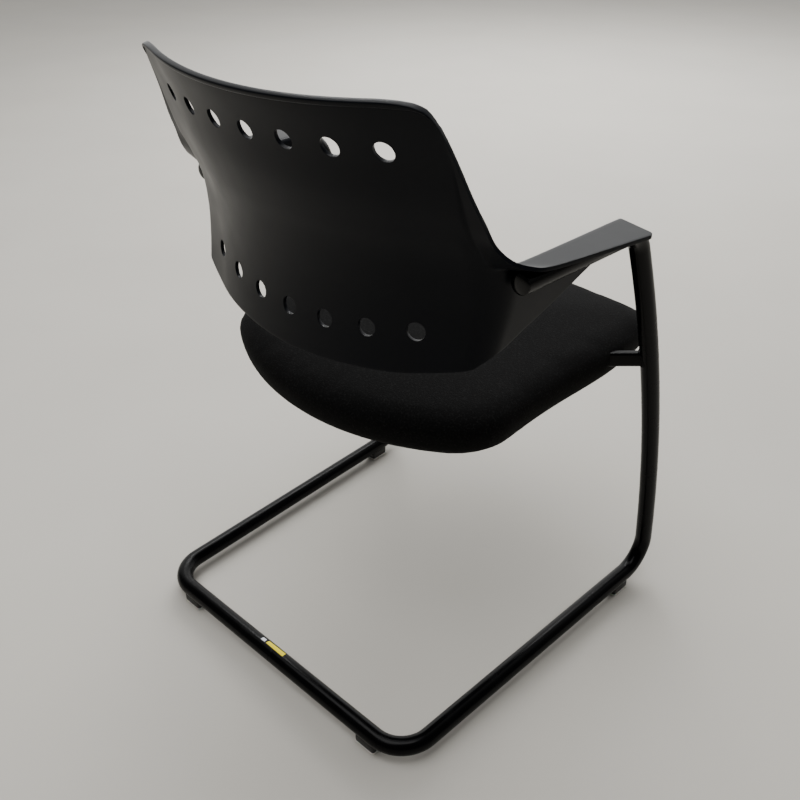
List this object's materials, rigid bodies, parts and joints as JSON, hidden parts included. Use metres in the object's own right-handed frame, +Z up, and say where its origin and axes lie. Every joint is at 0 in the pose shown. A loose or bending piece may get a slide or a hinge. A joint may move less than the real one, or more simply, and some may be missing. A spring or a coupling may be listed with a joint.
{
  "type": "cantilever chair",
  "caption": "Cantilever armchair: bent round-tube frame, perforated plastic back shell that flows into the arm pads, upholstered seat on a cross tube.",
  "frame": {"origin": "centre of the bounding box's floor face, on the floor between the runners", "axes": "+Z up; the chair faces -Y; X = 0 is its plane of symmetry, +X is the sitter's left"},
  "size_m": [0.6292, 0.5647, 0.8206],
  "materials": {
    "frame_steel": "black powder coat, semi-gloss",
    "bare_steel": "zinc plated",
    "cap_plastic": "polished moulding",
    "shell_plastic": "fine matt moulded texture",
    "glide_plastic": "matt moulding",
    "glide_pad": "smooth sliding plastic",
    "plywood": "unfinished beech ply",
    "seat_foam": "open-cell foam",
    "seat_fabric": "fine woven wool blend",
    "underside_fabric": "non-woven felt",
    "black_screw": "black zinc plated"
  },
  "bodies": {
    "root": {"left_frame_tube": "frame_steel", "right_frame_tube": "frame_steel", "joint_sleeve": "bare_steel", "cross_tube": "frame_steel", "left_carrier_rail": "frame_steel", "right_carrier_rail": "frame_steel", "left_arm_cap": "cap_plastic", "right_arm_cap": "cap_plastic", "back_shell": "shell_plastic", "left_rear_glide": "glide_plastic", "right_rear_glide": "glide_plastic", "left_front_glide": "glide_plastic", "right_front_glide": "glide_plastic", "left_rear_glide_pad": "glide_pad", "right_rear_glide_pad": "glide_pad", "left_front_glide_pad": "glide_pad", "right_front_glide_pad": "glide_pad", "glide_pins": "bare_steel", "front_seat_board": "plywood", "rear_seat_board": "plywood", "seat_foam": "seat_foam", "seat_cover": "seat_fabric", "underside_cover": "underside_fabric", "seat_screws": "bare_steel", "seat_washers": "bare_steel", "seat_tee_nuts": "bare_steel", "shell_screws": "black_screw", "rivet_nuts": "bare_steel"}
  },
  "joints": []
}
